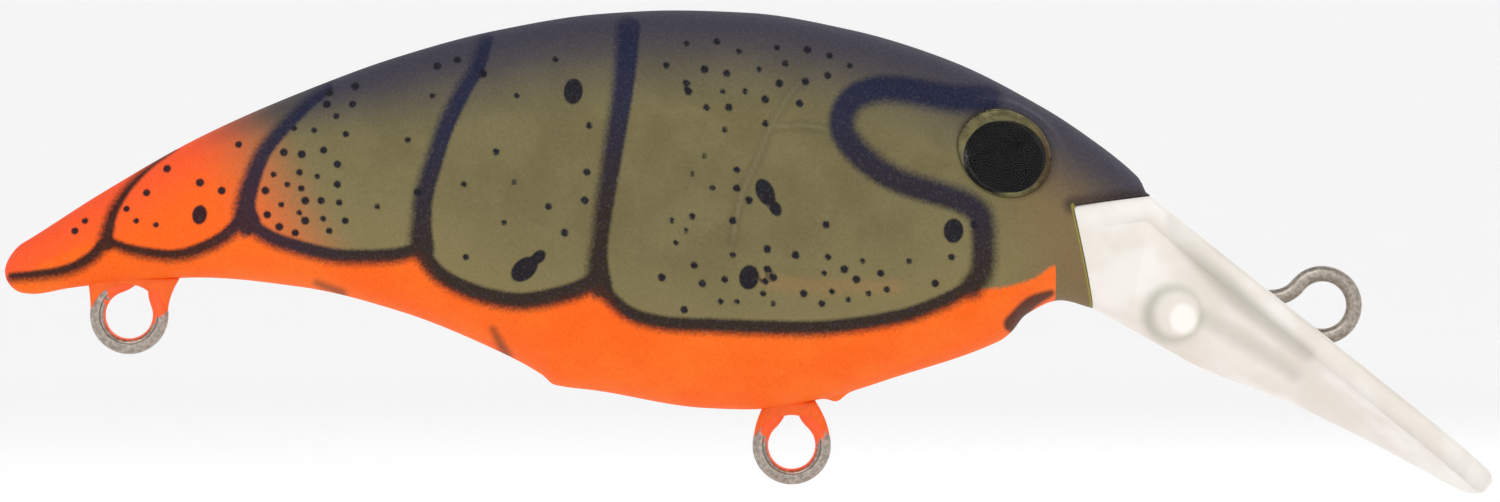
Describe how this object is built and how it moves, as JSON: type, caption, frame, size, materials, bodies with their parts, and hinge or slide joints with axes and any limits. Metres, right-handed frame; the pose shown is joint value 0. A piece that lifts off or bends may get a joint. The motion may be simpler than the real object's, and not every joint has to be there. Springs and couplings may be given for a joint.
{
  "type": "crankbait lure",
  "caption": "Deep-diving crankbait with a painted hollow body, a clear diving lip, wire line tie and hook hangers, and loose rattle balls inside.",
  "frame": {"origin": "centre of the line-tie eye, on the lure's middle plane", "axes": "+X along the body towards the nose and lip, +Y towards the lure's left side, +Z towards its back"},
  "size_m": [0.0742, 0.014, 0.0241],
  "materials": {
    "shell_paint": "matte airbrushed lacquer over moulded plastic: olive flanks, dark back, orange belly and tail",
    "lip_plastic": "milky translucent polycarbonate with a soft gloss",
    "wire_steel": "dull drawn stainless wire, with orange overspray on the hangers",
    "eye_gold": "olive-gold lacquered disc",
    "eye_black": "glossy black print",
    "eye_clear": "clear polished cap",
    "ballast_steel": "dull grey ballast shot",
    "rattle_steel": "polished bearing balls"
  },
  "bodies": {
    "lure": {"right_shell": "shell_paint", "left_shell": "shell_paint", "diving_lip": "lip_plastic", "line_tie": "wire_steel", "belly_hanger": "wire_steel", "tail_hanger": "wire_steel", "right_eye_disc": "eye_gold", "right_eye_pupil": "eye_black", "right_eye_dome": "eye_clear", "left_eye_disc": "eye_gold", "left_eye_pupil": "eye_black", "left_eye_dome": "eye_clear", "front_ballast": "ballast_steel", "middle_ballast": "ballast_steel", "rear_ballast": "ballast_steel"},
    "rattle_1": {"rattle_ball_1": "rattle_steel"},
    "rattle_2": {"rattle_ball_2": "rattle_steel"},
    "rattle_3": {"rattle_ball_3": "rattle_steel"},
    "rattle_4": {"rattle_ball_4": "rattle_steel"},
    "rattle_5": {"rattle_ball_5": "rattle_steel"}
  },
  "joints": [
    {"name": "rattle_1_slide", "type": "slide", "parent": "lure", "child": "rattle_1", "axis": [0, 1, 0], "range_m": [-0.00215, 0.00215]},
    {"name": "rattle_2_slide", "type": "slide", "parent": "lure", "child": "rattle_2", "axis": [0, 1, 0], "range_m": [-0.00295, 0.00295]},
    {"name": "rattle_3_slide", "type": "slide", "parent": "lure", "child": "rattle_3", "axis": [0, 1, 0], "range_m": [-0.0028, 0.0028]},
    {"name": "rattle_4_slide", "type": "slide", "parent": "lure", "child": "rattle_4", "axis": [0, 1, 0], "range_m": [-0.0026, 0.0026]},
    {"name": "rattle_5_slide", "type": "slide", "parent": "lure", "child": "rattle_5", "axis": [0, 1, 0], "range_m": [-0.00175, 0.00175]}
  ]
}
